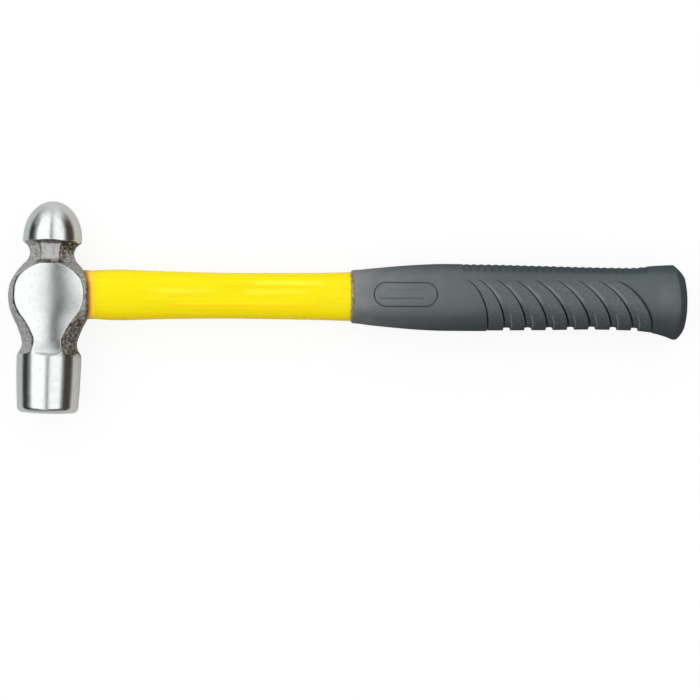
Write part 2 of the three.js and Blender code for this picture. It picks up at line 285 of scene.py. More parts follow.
def handle_points(made):
    """A mesh's vertices in the handle's frame, in millimetres."""
    flat = np.zeros(len(made.data.vertices) * 3)
    made.data.vertices.foreach_get("co", flat)
    return (flat.reshape(-1, 3) - ORIGIN) / MM


# ---- Head ----

head_width = through([
    (POLL_SHOULDER, 15.9), (-28.8, 14.8), (-26.6, 13.5), (-24.4, 13.1), (-17, 15.2), (-11, 18),
    (-5.4, 19.7), (-1, 20.18), (3.4, 19.7), (9.3, 17.3), (13.7, 14.1), (17, 11.3),
    (20, UPPER_NECK), (22.9, 11.3), (BALL_BASE, 15.4),
])
cheek_width = through([
    (POLL_SHOULDER, 8.4), (-28.3, 7.6), (-22.6, 6.65), (-17.5, 8.58), (-12.7, 11.5), (-8.8, 14.4),
    (-4.9, 16.2), (-1, 16.77), (2, 16.67), (6.8, 15.5), (11.7, 11.1), (14, 7),
    (CHEEK_TOP, 4.9), (20, 4.45), (22.9, 4.8), (BALL_BASE, 6.4),
])
cheek_depth = through([
    (POLL_SHOULDER, 16.2), (-28.3, 14.1), (-25.4, 12.9), (-22, 12.5), (-12, 12.3),
    (CHEEK_TOP - 0.3, 12.3), (CHEEK_TOP + 1.3, 10.8), (20, UPPER_NECK), (23.5, 10.8),
    (25.4, 11.7), (BALL_BASE, 15.2),
])
side_depth = through([
    (POLL_SHOULDER, 6.6), (-24.4, 5.7), (-12, 6.8), (-6, 8.8), (4, 8.8), (11, 6.8), (20, 4.55),
    (BALL_BASE, 6.4),
])
cheek_crown = through([
    (POLL_SHOULDER, 0), (-20, 0.35), (-8, 1.1), (6, 1.1), (CHEEK_TOP, 0.15), (CHEEK_TOP + 1.5, 0),
])
corner_bulge = through([(-24.4, 0), (-10, 0.45), (6, 0.45), (17, 0)])
poll_taper = through([(-55.2, 14.95), (-46, 15.4), (POLL_SHOULDER, POLL_RADIUS)])

EDGE_ROUNDING = 0.3
SIDE_ROUNDING = 1.4
TURNED_ROUNDING = 0.25


def bezier(a, b, c, u):
    return a * (1 - u) ** 2 + b * 2 * u * (1 - u) + c * u * u


def head_quarter(at):
    """The section across the head from the middle of the cheek to the middle of the
    side, as arrays x and z, one value for each station in at."""
    edge = np.array([cheek_width(at), cheek_depth(at)])
    side = np.array([head_width(at), side_depth(at)])
    crown = cheek_crown(at)
    bulge = corner_bulge(at)

    def front(t):
        return np.array([edge[0] * t, edge[1] + crown * (1 - t * t)])

    def corner(t):
        return edge + (side - edge) * t + 4 * bulge * t * (1 - t)

    length = np.hypot(side[0] - edge[0], side[1] - edge[1])
    edge_cut = EDGE_ROUNDING / edge[0]
    corner_cut = EDGE_ROUNDING / length
    side_cut = SIDE_ROUNDING / length
    flat_cut = SIDE_ROUNDING / side[1]
    quarter = [front((1 - edge_cut) * t) for t in np.linspace(0, 1, 14)]
    for u in (0.33, 0.67):
        quarter.append(bezier(quarter[13], edge, corner(corner_cut), u))
    for t in np.linspace(0, 1, 11):
        quarter.append(corner(corner_cut + (1 - corner_cut - side_cut) * t))
    flat = np.array([side[0], side[1] * (1 - flat_cut)])
    last = quarter[-1]
    for u in (0.25, 0.5, 0.75):
        quarter.append(bezier(last, side, flat, u))
    for t in np.linspace(0, 1, 7):
        quarter.append(np.array([side[0], flat[1] * (1 - t)]))
    return np.moveaxis(np.array(quarter), 2, 0)


def turned_radius(at):
    """Radius that the head is turned to. The eye body between poll and ball isn't turned."""
    rise = np.clip((at - BALL_BASE) / (BALL_TIP - BALL_BASE), 0, 1)
    ball = BALL_RADIUS * np.sqrt(1 - rise**2)
    radius = np.where(at < NECK_TURNED[0], poll_taper(at), 1000.0)
    return np.where(at > NECK_TURNED[1], ball, radius)


def whole_ring(quarter):
    """A quarter section mirrored to a full ring. The last axis is x, z."""
    lower = quarter[:, 1:-1][:, ::-1] * np.array([1, -1])
    right = np.concatenate([quarter, lower], axis=1)
    bottom = quarter[:, :1] * np.array([1, -1])
    left = right[:, 1:][:, ::-1] * np.array([-1, 1])
    return np.concatenate([right, bottom, left], axis=1)


def head_rings():
    """The whole outside of the head: crowned face, poll, eye body, neck and ball."""
    face = [(r, POLL_FACE + FACE_CROWN * r * r) for r in (0.5, 3, 6, 9, 11)]
    for share in np.linspace(0, 1, 12):
        a = share * math.pi / 2
        across = FACE_EDGE_RADIUS + FACE_CORNER[0] * math.sin(a)
        face.append((across, -54.7 - FACE_CORNER[1] * math.cos(a)))
    steps = [
        (-54, -32.6, 1.4), (-32.6, -22.3, 0.15), (-22.3, 13.4, 0.5), (13.4, 17.2, 0.1),
        (17.2, 22.4, 0.25), (22.4, BALL_BASE, 0.12),
    ]
    body = np.concatenate([np.arange(a, b, step) for a, b, step in steps])
    tip = np.linspace(0, 0.985 * math.pi / 2, 44)
    body = np.concatenate([body, BALL_BASE + BALL_HEIGHT * np.sin(tip)])
    section = whole_ring(head_quarter(body))
    reach = np.hypot(section[..., 0], section[..., 1])
    radius = turned_radius(body)[:, None]
    held = smooth_min(reach, radius, TURNED_ROUNDING)
    held = np.minimum(held, radius)
    ways = section / reach[..., None]
    body_rings = ways * held[..., None]
    face_rings = [ways[0] * r for r, at in face]
    flat = np.concatenate([face_rings, body_rings])
    at = np.concatenate([[a for r, a in face], body])
    along = np.broadcast_to(at[:, None], flat.shape[:2])
    return np.stack([flat[..., 0], along, flat[..., 1]], -1)


def from_head(points):
    """Points of the head's own frame in the handle's frame."""
    x, y, z = points[..., 0], points[..., 1], points[..., 2]
    c, s = math.cos(HEAD_LEAN), math.sin(HEAD_LEAN)
    return np.stack([x * c + y * s + EYE_X, y * c - x * s, z], -1)


def to_head(points):
    x, y, z = points[..., 0] - EYE_X, points[..., 1], points[..., 2]
    c, s = math.cos(HEAD_LEAN), math.sin(HEAD_LEAN)
    return np.stack([x * c - y * s, y * c + x * s, z], -1)


def eye_ring(at, clearance, angle):
    widen = EYE_FLARE * (at / 20) ** 2 - clearance
    return ring(at, EYE_HEIGHT + widen, EYE_DEPTH + widen, angle)


def cut_with(made, cutter):
    """Takes the cutter's shape out of a piece and removes the cutter."""
    modifier = made.modifiers.new("cut", "BOOLEAN")
    modifier.operation = "DIFFERENCE"
    modifier.solver = "EXACT"
    modifier.object = cutter
    graph = bpy.context.evaluated_depsgraph_get()
    mesh = bpy.data.meshes.new_from_object(made.evaluated_get(graph))
    made.modifiers.clear()
    made.data = mesh
    bpy.data.objects.remove(cutter)


def ground_distance(points):
    """How far inside the ground cheeks and inside the turned surfaces a point of the
    head lies, in millimetres: below 0 in both is the forged skin."""
    x, at, z = points[:, 0], points[:, 1], np.abs(points[:, 2])
    cheek = np.minimum(cheek_width(at) - 0.1 - np.abs(x), CHEEK_TOP + 0.1 - at)
    cheek = np.where(z > cheek_depth(at) - 0.6, cheek, -1.0)
    turned = np.hypot(points[:, 0], points[:, 2]) - turned_radius(at) + 0.12
    turned = np.where(at < -54, 1.0, turned)
    turned = np.where(at > BALL_BASE, 1.0, turned)
    return cheek, turned


def between(value, start, end, soft):
    """1 between start and end, with soft edges outside them."""
    return ease(value, start - soft, start) * (1 - ease(value, end, end + soft))


def skin_tone_and_painted_light(points):
    """How light the forged skin is, from -1 for dark scale to 1 for rubbed bright. Painted shade
    and a painted highlight are mixed in, and the handle side is made darker in patches.
    """
    x, at, z = points[:, 0], points[:, 1], np.abs(points[:, 2])
    inside = cheek_width(at) - np.abs(x)
    front = z > 9.5
    neck = between(at, 18, 24, 0.8)
    tone = 0.12 * (x < 0)
    tone = tone + front * neck * 0.85 * ease(inside, 0.1, 0.5)
    tone = tone - front * between(at, 15.5, 26, 0.5) * 0.5 * between(inside, -0.3, 0.1, 0.3)
    # Painted shade in the two concave steps: above the cheek's top and under the ball.
    tone = tone - front * 0.6 * (between(at, 15.3, 16.6, 0.4) + between(at, 24.9, 26.8, 0.4))
    rim = between(inside, -0.75, -0.15, 0.15) * between(at, -24, 8, 3) * front
    tone = tone - 1.1 * rim * (x < 0)
    # Darker on the handle side towards the poll.
    handle_side = ease(x, 4, 8) * (at < 26)
    tone = tone - handle_side * 0.5 * (1 - ease(at, -14, -5))
    # Painted highlight: a bright spot low on the handle side, near the poll's shoulder.
    tone = tone + 0.7 * np.exp(-(((x - 9.8) / 1.2) ** 2) - ((at + 24.5) / 2.2) ** 2)
    # Painted shade along the handle side, where the steel meets the epoxy round the eye.
    tone = tone - 0.7 * ease(x, 17.6, 18.4) * (1 - ease(np.abs(at), 11, 13))
    # Darker still on the neck's handle side, below the ball.
    scale = np.maximum(between(at, 22, 26, 1.5), between(x, 5.5, 7, 0.6))
    return tone - handle_side * 0.75 * scale * between(at, 17, 26, 1)


def cheek_shade_and_ball_satin(points):
    """Painted shade on the polish of the lower handle side of the cheek, 0 to 1, and the duller,
    rougher polish of the ball's tip.
    """
    x, at = points[:, 0], points[:, 1]
    cheek = ease(x, 0.5, 6) * (1 - ease(at, -8, 4)) * ease(at, -31, -29)
    return cheek, ease(at, 32, 43)


def stain_share(points):
    """1 where dark scale and rubbed metal lie side by side on the handle's side."""
    x, at = points[:, 0], points[:, 1]
    low = ease(x, 6, 9) * between(at, -31, -13, 4)
    return np.maximum(low, ease(x, 4, 6) * between(at, 20, 26, 2))


def make_head():
    made = lofted("hammer_head_forging", from_head(head_rings()), 40)
    angle = turn(72)
    eye = np.stack([eye_ring(at, 0, angle) for at in np.linspace(-EYE_HALF, EYE_HALF, 21)])
    cut_with(made, lofted("eye_cutter", from_head(eye)))
    made.data.shade_smooth()
    made.data.set_sharp_from_angle(angle=math.radians(40))
    points = to_head(handle_points(made))
    cheek, turned = ground_distance(points)
    set_field(made, "cheek", cheek)
    set_field(made, "turned", turned)
    set_field(made, "tone", skin_tone_and_painted_light(points))
    cheek_shade, satin = cheek_shade_and_ball_satin(points)
    set_field(made, "cheek_shade", cheek_shade)
    set_field(made, "satin", satin)
    set_field(made, "stain", stain_share(points))
    return made


def width_at_depth(at, z):
    """Half-width of the head at a depth z: the side's flat, or the forged corner above it."""
    side = np.array([head_width(at), side_depth(at)])
    edge = np.array([cheek_width(at), cheek_depth(at)])
    bulge = corner_bulge(at)
    low, high = np.zeros(np.shape(at)), np.ones(np.shape(at))
    for _ in range(20):
        t = (low + high) / 2
        above = edge[1] + (side[1] - edge[1]) * t + 4 * bulge * t * (1 - t) > np.abs(z)
        low = np.where(above, t, low)
        high = np.where(above, high, t)
    return edge[0] + (side[0] - edge[0]) * high + 4 * bulge * high * (1 - high)


def head_surface(y, z):
    """X of the head's surface on the handle's side, at a height y and a depth z."""
    along = y + head_width(y) * math.sin(HEAD_LEAN)
    return EYE_X + width_at_depth(along, z) + along * math.sin(HEAD_LEAN)


# ---- Epoxy ----


def make_bond():
    """Epoxy cast round the tang, closed at the outer end of the eye."""
    angle = turn(72)
    widen = EYE_FLARE * 0.9**2 - GAP
    mouth = [EYE_HEIGHT + widen, EYE_DEPTH + widen]

    def plug(y):
        return PLUG_RECESS - head_width(y)

    rings = [ring(plug, mouth[0] * p, mouth[1] * p, angle) for p in (0.1, 0.5, 0.85, 0.97, 1)]
    rings += [eye_ring(at, GAP, angle) for at in (-13, -8, -4, 0, 4, 8, 14)]
    rings = [from_head(r) for r in rings]
    inner = [TANG_HEIGHT + GAP, TANG_DEPTH + GAP]
    rings += [ring(at, *inner, angle) for at in (14, PLUG_INSIDE)]
    made = lofted("eye_epoxy_casting", np.stack(rings))
    set_field(made, "spread", np.full(len(made.data.vertices), 0.38))
    return made


def make_bead():
    """Epoxy fillet that climbs the head round the eye and ends at the shaft's shoulder."""
    angle = turn(200)
    inner = (TANG_HEIGHT + GAP, TANG_DEPTH + GAP)

    def on_head(height, depth):
        y, z = oval(height, depth, OVAL_POWER, angle)
        return np.stack([head_surface(y, z) + SEAM, y, z], -1)

    rings = [on_head(*inner)]
    for share in (0.2, 0.4, 0.6, 0.8, 0.93):
        rings.append(on_head(11 + 0.8 * share, TANG_DEPTH + GAP + 3.6 * share))
    rim = on_head(11.9, BEAD_RISE)
    foot_x = BEAD_END + GAP - SEAM
    foot = ring(foot_x, 11.85, SHAFT_DEPTH - 0.02, angle)
    for share in np.linspace(0, 1, 14):
        across = rim + (foot - rim) * share
        sag = 0.35 * math.sin(math.pi * share)
        reach = np.hypot(across[:, 1], across[:, 2])[:, None]
        across[:, 1:] *= 1 - sag * np.abs(np.sin(angle))[:, None] / reach
        rings.append(across)
    rings.append(ring(foot_x, *inner, angle))
    made = looped("eye_epoxy_fillet", np.stack(rings))
    spread = [0] * 6 + list(np.linspace(0, 1, 14)) + [1]
    set_field(made, "spread", np.repeat(spread, len(angle)))
    return made


# ---- Shaft ----

shaft_height = through([
    (10, 11.6), (21.7, 11.87), (33, 12.36), (53, 11.8), (68.5, 11.43), (90, 11.16),
    (107.5, 11.28), (131, 11.5), (SHOULDER_X, 11.85),
])


def flute_line(x, y):
    """Painted shade: the two faint dark lines at the edges of a flute, from 0 to 1. They are also
    cut a little into the shaft.
    """
    upper = 0.35 * ease(x, 78, 96) * (1 - ease(x, 118, 138)) * np.exp(-(((y - 4.7) / 0.5) ** 2))
    lower = ease(x, 54, 64) * (1 - ease(x, 116, 136)) * np.exp(-(((y + 5.2) / 0.7) ** 2))
    return upper + lower


def highlight_streaks(x, y):
    """Three soft painted highlight streaks along the middle of the shaft."""
    share = 0
    for start, end, height in ((46, 88, 2.2), (90, 132, 2), (94, 140, 6.4)):
        along = ease(x, start, start + 12) * (1 - ease(x, end - 14, end))
        share = share + along * np.exp(-(((y - height) / 1.1) ** 2))
    return 0.6 * np.clip(share, 0, 1)


def shaft_ring(station, angle):
    """A ring of the shaft, with a shallow flute on each side."""
    y, z = oval(12, SHAFT_DEPTH, OVAL_POWER, angle)
    x = station(y) if callable(station) else np.full(len(angle), float(station))
    y, z = oval(shaft_height(x), SHAFT_DEPTH, OVAL_POWER, angle)
    along = ease(x, *FLUTE_RAMP_IN) * (1 - ease(x, *FLUTE_RAMP_OUT))
    across = np.maximum(0, 1 - (y / FLUTE_HALF) ** 2)
    depth = FLUTE_DEPTH * along * across + 0.1 * flute_line(x, y)
    return np.stack([x, y, z - np.sign(z) * depth], -1)


def bow_share(y):
    """The mouth of the grip and the shoulder before it bow towards the butt."""
    return np.maximum(0, 1 - (y / MOUTH_HEIGHT) ** 2)


def shoulder_end(y):
    return SHOULDER_X + SHOULDER_BOW * bow_share(y)


def grip_mouth(y):
    return GRIP_MOUTH + MOUTH_BOW * bow_share(y)


def make_jacket():
    """Tang, fluted shaft and tail in one, bored for the rod."""
    angle = turn(240)
    shoulder = BEAD_END + GAP
    tang = (TANG_HEIGHT, TANG_DEPTH, angle)
    tail = (TAIL_HEIGHT, TAIL_DEPTH, angle)
    bore = (ROD_RADIUS + GAP, ROD_RADIUS + GAP, angle, 2)
    stations = [shoulder, *np.linspace(shoulder + 0.6, SHOULDER_X - 0.6, 124)]
    rings = [ring(TANG_START, *tang), ring(shoulder, *tang)]
    rings += [shaft_ring(x, angle) for x in stations]
    rings += [shaft_ring(lambda y: shoulder_end(y) - 0.3, angle), shaft_ring(shoulder_end, angle)]
    rings += [ring(shoulder_end, *tail), ring(TAIL_END, *tail)]
    rings += [ring(TAIL_END, *bore), ring(TANG_START, *bore)]
    made = looped("handle_jacket_moulding", np.stack(rings))
    points = handle_points(made)
    # Painted shade: darker and warmer along the shaft's underside, added to the flute lines.
    warm = 0.5 * ease(-points[:, 1], 8.6, 11)
    set_field(made, "line", flute_line(points[:, 0], points[:, 1]) + warm)
    set_field(made, "highlight_streak", highlight_streaks(points[:, 0], points[:, 1]))
    return made


def make_adhesive():
    """Thin adhesive sleeve under the grip, with an uneven lip squeezed out at its mouth."""
    angle = turn(240)
    inner = (TAIL_HEIGHT + GAP, TAIL_DEPTH + GAP)
    outer = (GLUE_HEIGHT, GLUE_DEPTH)

    def start(y):
        return shoulder_end(y) + SEAM

    def end(y):
        return grip_mouth(y) + 0.2

    rings = [ring(start, *inner, angle)]
    wave = 0.12 * np.sin(7 * angle + 1) + 0.1 * np.sin(17 * angle) + 0.06 * np.sin(31 * angle)
    for part in np.linspace(0, 1, 7):
        swell = 0.25 * math.sin(math.pi * part)
        y, z = oval(GLUE_LIP_HEIGHT - 0.2, GLUE_LIP_DEPTH - 0.2, OVAL_POWER, angle)
        scale = 1 + (swell + wave * math.sin(math.pi * part)) / np.hypot(y, z)
        x = start(y) + (end(y) - start(y)) * part
        rings.append(np.stack([x, y * scale, z * scale], -1))
    rings.append(ring(end, *outer, angle))
    rings.append(ring(GLUE_END, *outer, angle))
    rings.append(ring(GLUE_END, *inner, angle))
    return looped("grip_adhesive_line", np.stack(rings))


# ---- Grip ----

grip_top = through([
    (GRIP_MOUTH, 13), (157, 13.85), (169, 15), (180.6, 15.85), (192.3, 16.3), (210, 16.25),
    (240, 15.75), (265, 15.25), (283, 15.1), (294.6, 16.15), (RIM_X, 16.6),
])
grip_bottom = through([
    (GRIP_MOUTH, 13), (157, 14), (169, 15.1), (180.6, 15.95), (192.3, 16.35), (210, 16.3),
    (240, 15.95), (265, 15.45), (283, 15.75), (294.6, 16.9), (300.5, 18.5), (RIM_X, 19.8),
])
grip_depth = through([
    (GRIP_MOUTH, 10.1), (169, 12), (192, 13.3), (240, 13.2), (270, 12.8), (290, 13.2),
    (RIM_X, 15.4),
])


def arc_follow(p):
    """Share of the arc that the mesh lines take: none at the ends of the grip."""
    before = (p - FOLLOW_START) / (FIELD_START - FOLLOW_START)
    after = (RIM_X - 1 - p) / (RIM_X - 1 - FIELD_END)
    return np.clip(np.minimum(before, after), 0, 1)


def grip_section(x, angle):
    upper = np.cos(angle) > 0
    height = np.where(upper, grip_top(x), grip_bottom(x))
    lower_power = GRIP_POWER + (LOWER_GRIP_POWER - GRIP_POWER) * ease(x, 195, 215)
    power = np.where(upper, GRIP_POWER, lower_power)
    return oval(height, grip_depth(x), power, angle)


arc_sweep = through([
    (FIELD_START, 1), (CHANNEL_FIRST, 3.3), (231, 5), (252, 7.2), (FIELD_END, 7.3),
])


def arc_back(p, y):
    """How far an arc lies towards the head at a height y, from its bottom station p."""
    rise = np.maximum(0, np.minimum(y, ARC_TOP) - ARC_CENTRE) / ARC_HEIGHT
    return arc_sweep(p) * rise**1.3 + ARC_REACH * (1 - np.sqrt(1 - rise**2))


def channel_depth(p, y):
    """Depth cut below the smooth grip at an arc station p and height y."""
    field = ease(p, FIELD_START, FIELD_START + CHANNEL_WALL)
    field = field * (1 - ease(p, FIELD_END + END_LINE_WIDTH - 0.5, FIELD_END + END_LINE_WIDTH))
    depth = FIELD_STEP * field * (1 - ease(y, 6.2, 8.2))
    fade = 1 - ease(y, ARC_TOP - 1.6, ARC_TOP)
    left = (0.3 + 0.5 * (1 - ease(y, -11, 4))) * fade
    right = 0.06 + 0.74 * (1 - ease(y, -13, -4))
    right = right * (1 - ease(y, 4, 8))
    slit = (0.55 + 0.25 * (1 - ease(y, -9, 6)) - 0.6 * ease(-y, 12.5, 15)) * fade
    notch = 0.75 * ease(-y, 13, 15.5)
    starts = [CHANNEL_FIRST + i * CHANNEL_PITCH for i in range(CHANNELS)]
    for start in starts:
        t = np.clip((p - start) / CHANNEL_WIDTH, 0, 1)
        wall = ease(p, start, start + CHANNEL_WALL)
        wall = wall * (1 - ease(p, start + CHANNEL_WIDTH - CHANNEL_WALL, start + CHANNEL_WIDTH))
        hollow = notch * np.sqrt(4 * t * (1 - t))
        depth = depth + (left * (1 - t) + right * t + hollow - FIELD_STEP * 0.5) * wall
    for start in [FIELD_START, *starts, FIELD_END]:
        wall = ease(p, start, start + 0.25) * (1 - ease(p, start + 0.45, start + 0.9))
        depth = depth + slit * wall
    return np.maximum(0, depth)


def channel_line(p, y):
    """Painted shade: the dark line down the left wall of each channel, from 0 to 1."""
    fade = 1 - ease(y, ARC_TOP - 1.2, ARC_TOP)
    starts = [CHANNEL_FIRST + i * CHANNEL_PITCH for i in range(CHANNELS)]
    line = 0
    for start in [FIELD_START, *starts, FIELD_END]:
        wall = ease(p, start - 0.05, start + 0.2) * (1 - ease(p, start + 0.5, start + 0.8))
        line = line + wall * fade
    return line


def channel_light(p, y):
    """The paler floor of each channel, and a painted highlight on the top of its right wall low
    down, where that wall faces the light.
    """
    light = 0
    for i in range(CHANNELS):
        start = CHANNEL_FIRST + i * CHANNEL_PITCH
        floor = between(p, start + 1, start + 2.6, 0.4) * ease(y, -5, 1) * (1 - ease(y, 5, 8))
        edge = start + CHANNEL_WIDTH
        wall = between(p, edge - 0.1, edge + 0.35, 0.2) * (1 - ease(y, -9.5, -7))
        light = light + floor + 1.4 * wall
    return light


def sheen_patch(x, y):
    """Painted sheen: the lighter patch on the swell before the butt."""
    return np.exp(-(((x - 299.5) / 4.5) ** 2) - ((y - 1) / 6.5) ** 2)


def field_share(p, y):
    """1 where the ribs between the channels are, and 0 elsewhere."""
    inside = ease(p, FIELD_START, FIELD_START + 0.4) * (1 - ease(p, FIELD_END - 0.4, FIELD_END))
    return inside * (1 - ease(y, 6, 8.5))


def spine_depth(x, y):
    """Depth of the cross cuts along the top of the grip."""
    phase = (x - SPINE_START) / SPINE_PITCH
    cut = (1 - np.abs(np.sin(math.pi * phase))) ** 0.8
    ends = ease(x, SPINE_START - 0.6, SPINE_START) * (1 - ease(x, SPINE_END, SPINE_END + 0.6))
    return SPINE_DEPTH * cut * ends * ease(y, 11.8, 13.6)


def panel_depth(x, y):
    """Depth of the obround outline and the two short lines in it."""
    middle = (PANEL_START + PANEL_END) / 2
    straight = (PANEL_END - PANEL_START) / 2 - PANEL_HALF
    dx = np.maximum(0, np.abs(x - middle) - straight)
    dy = np.abs(y - PANEL_CENTRE_Y)
    away = np.abs(np.hypot(dx, dy) - PANEL_HALF)
    depth = PANEL_GROOVE * np.exp(-((away / 0.28) ** 2))
    for line, start, end, deep in ((-0.85, 160.6, 182.5, 0.25), (3.35, 164, 182.5, 0.1)):
        along = ease(x, start, start + 0.4) * (1 - ease(x, end - 0.4, end))
        depth = np.maximum(depth, deep * along * np.exp(-(((y - line) / 0.22) ** 2)))
    return depth


def grip_angles():
    """Angles round the grip, close together where the panel is."""
    half = np.concatenate([
        np.linspace(0, 56, 26, endpoint=False),
        np.linspace(56, 118, 68, endpoint=False),
        np.linspace(118, 180, 32, endpoint=False),
    ])
    return np.radians(np.concatenate([half, [180], 360 - half[1:][::-1]]))


def grip_stations():
    """Stations along the bottom of the grip, close together at each wall."""
    steps = [
        (150, 156, 0.8), (156, 191, 0.22), (191, 205, 0.8), (205, 293, 0.5),
        (293, RIM_X - 0.4, 0.16),
    ]
    stations = [np.arange(a, b, step) for a, b, step in steps]
    near_wall = np.array([-0.3, -0.12, 0, 0.12, 0.24, 0.35, 0.47, 0.62, 0.78, 0.92])
    for i in range(CHANNELS):
        start = CHANNEL_FIRST + i * CHANNEL_PITCH
        stations.append(start + near_wall)
        stations.append(start + CHANNEL_WIDTH - near_wall[:7])
    for start in (FIELD_START, FIELD_END):
        stations.append(start + near_wall)
    found = np.sort(np.concatenate(stations))
    kept = [found[0]]
    for at in found[1:]:
        if at - kept[-1] > 0.06:
            kept.append(at)
    return np.array(kept)


def grip_skin(p, angle):
    """The outside of the grip on a grid of arc stations and angles."""
    p, angle = p[:, None], angle[None, :]
    plain_y, _ = grip_section(p, angle)
    x = p - arc_follow(p) * arc_back(p, plain_y)
    y, z = grip_section(x, angle)
    follows = arc_follow(p) > 0.5
    depth = channel_depth(p, y) * follows
    spine = spine_depth(x, y)
    panel = panel_depth(x, y)
    scale = 1 - (depth + spine + panel) / np.hypot(y, z)
    points = np.stack([x, y * scale, z * scale], -1)
    # The line share is painted shade in the grooves: the channel walls, the panel outline and the
    # spine cuts.
    line = channel_line(p, y) * follows + panel / PANEL_GROOVE + 0.3 * spine / SPINE_DEPTH
    shares = {
        "line": np.clip(line, 0, 1),
        "field": field_share(p, y) * follows,
        "pale": channel_light(p, y) * follows + 0.5 * sheen_patch(x, y),
    }
    return points, shares


def mouth_rings(angle):
    """The bore and the rounded lip at the mouth of the grip."""
    rings = [
        ring(BORE_END, BORE_HEIGHT, BORE_DEPTH, angle),
        ring(lambda y: grip_mouth(y) + 0.3, BORE_HEIGHT, BORE_DEPTH, angle),
    ]
    y, z = grip_section(np.full(len(angle), GRIP_MOUTH), angle)
    for a in np.linspace(0, math.pi / 2, 7):
        scale = 1 - LIP_RADIUS * (1 - math.sin(a)) / np.hypot(y, z)
        x = grip_mouth(y) + LIP_RADIUS * (1 - math.cos(a))
        rings.append(np.stack([x, y * scale, z * scale], -1))
    return rings


def butt_rings(angle):
    """The rim, which bows out over the flat sides, the bulging chamfer and the shallow dome."""
    y, z = grip_section(np.full(len(angle), RIM_X), angle)
    bow = RIM_BOW * np.maximum(0, 1 - (y / RIM_REACH) ** 2)
    rim = np.stack([RIM_X - RIM_CANT * y + bow, y, z], -1)
    face_y, face_z = oval(BUTT_FACE_HEIGHT, BUTT_FACE_DEPTH, BUTT_POWER, angle)
    face = np.stack([np.full(len(angle), BUTT_FACE_X), face_y + BUTT_CENTRE, face_z], -1)
    rings = [
        rim * np.array([1, 0.997, 0.997]) - np.array([0.12, 0, 0]),
        rim * np.array([1, 0.99, 0.99]) + np.array([0.1, 0, 0]),
    ]
    out = np.stack([np.full(len(angle), 0.75), 0.65 * np.cos(angle), 0.65 * np.sin(angle)], -1)
    for share in np.linspace(0.06, 0.94, 14):
        bulge = 4 * share * (1 - share) * CHAMFER_BULGE
        rings.append(rim * (1 - share) + face * share + out * bulge)
    for part in (0.985, 0.95, 0.9, 0.8, 0.65, 0.5, 0.35, 0.2, 0.06):
        dome = (BUTT_END_X - BUTT_FACE_X) * min(1 - part**2, BUTT_FLAT)
        y, z = oval(BUTT_FACE_HEIGHT * part, BUTT_FACE_DEPTH * part, BUTT_POWER, angle)
        x = np.full(len(angle), BUTT_FACE_X + dome)
        rings.append(np.stack([x, y + BUTT_CENTRE, z], -1))
    return rings


def make_grip():
    angle = grip_angles()
    mouth = mouth_rings(angle)
    skin, shares = grip_skin(grip_stations(), angle)
    rings = np.stack([*mouth, *skin, *butt_rings(angle)])
    made = lofted("rubber_grip_moulding", rings, 50)
    first = len(mouth) * len(angle)
    for name, share in shares.items():
        values = np.zeros(len(made.data.vertices))
        values[first:first + share.size] = share.ravel()
        set_field(made, name, values)
    return made


# ---- Materials ----


